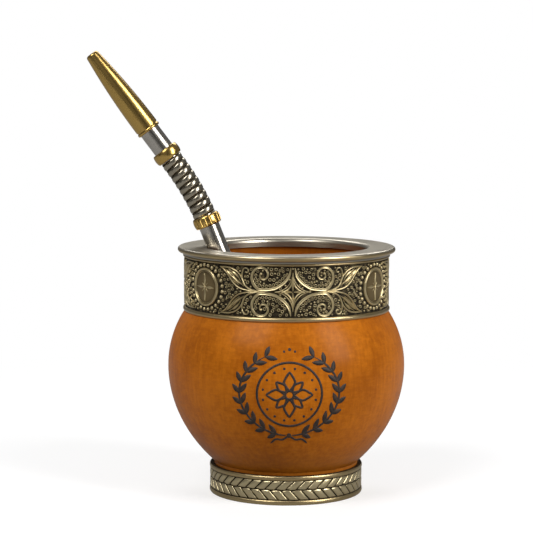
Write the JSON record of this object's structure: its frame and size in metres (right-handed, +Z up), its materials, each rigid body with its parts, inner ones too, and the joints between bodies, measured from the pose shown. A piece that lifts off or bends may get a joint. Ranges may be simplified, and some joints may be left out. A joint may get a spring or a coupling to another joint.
{
  "type": "mate gourd with metal straw",
  "caption": "Turned wooden mate gourd with an embossed metal collar, a wide metal mouth ring, a herringbone metal foot and a bent metal straw with a strainer.",
  "frame": {"origin": "centre of the foot's flat underside, on the gourd's turning axis", "axes": "+Z up along the gourd's turning axis; the straw leans towards -X in the plane y = 0; -Y is the side with the burnt emblem"},
  "size_m": [0.1166, 0.0872, 0.1622],
  "materials": {
    "gourd_wood": "semi-gloss oiled, orange brown",
    "mouth_metal": "satin pale nickel brass",
    "collar_metal": "embossed, with dark patina in the ground",
    "foot_metal": "brushed, with dark patina in the grooves",
    "straw_steel": "polished",
    "straw_wire": "polished, dark between the turns",
    "straw_gold": "polished"
  },
  "bodies": {
    "root": {"gourd_body": "gourd_wood", "mouth_ring": "mouth_metal", "collar_band": "collar_metal", "foot_cup": "foot_metal", "straw_tube": "straw_steel", "straw_mouthpiece": "straw_gold", "straw_upper_bead": "straw_gold", "straw_lower_bead": "straw_gold", "straw_coil": "straw_wire", "straw_strainer": "straw_steel"}
  },
  "joints": []
}
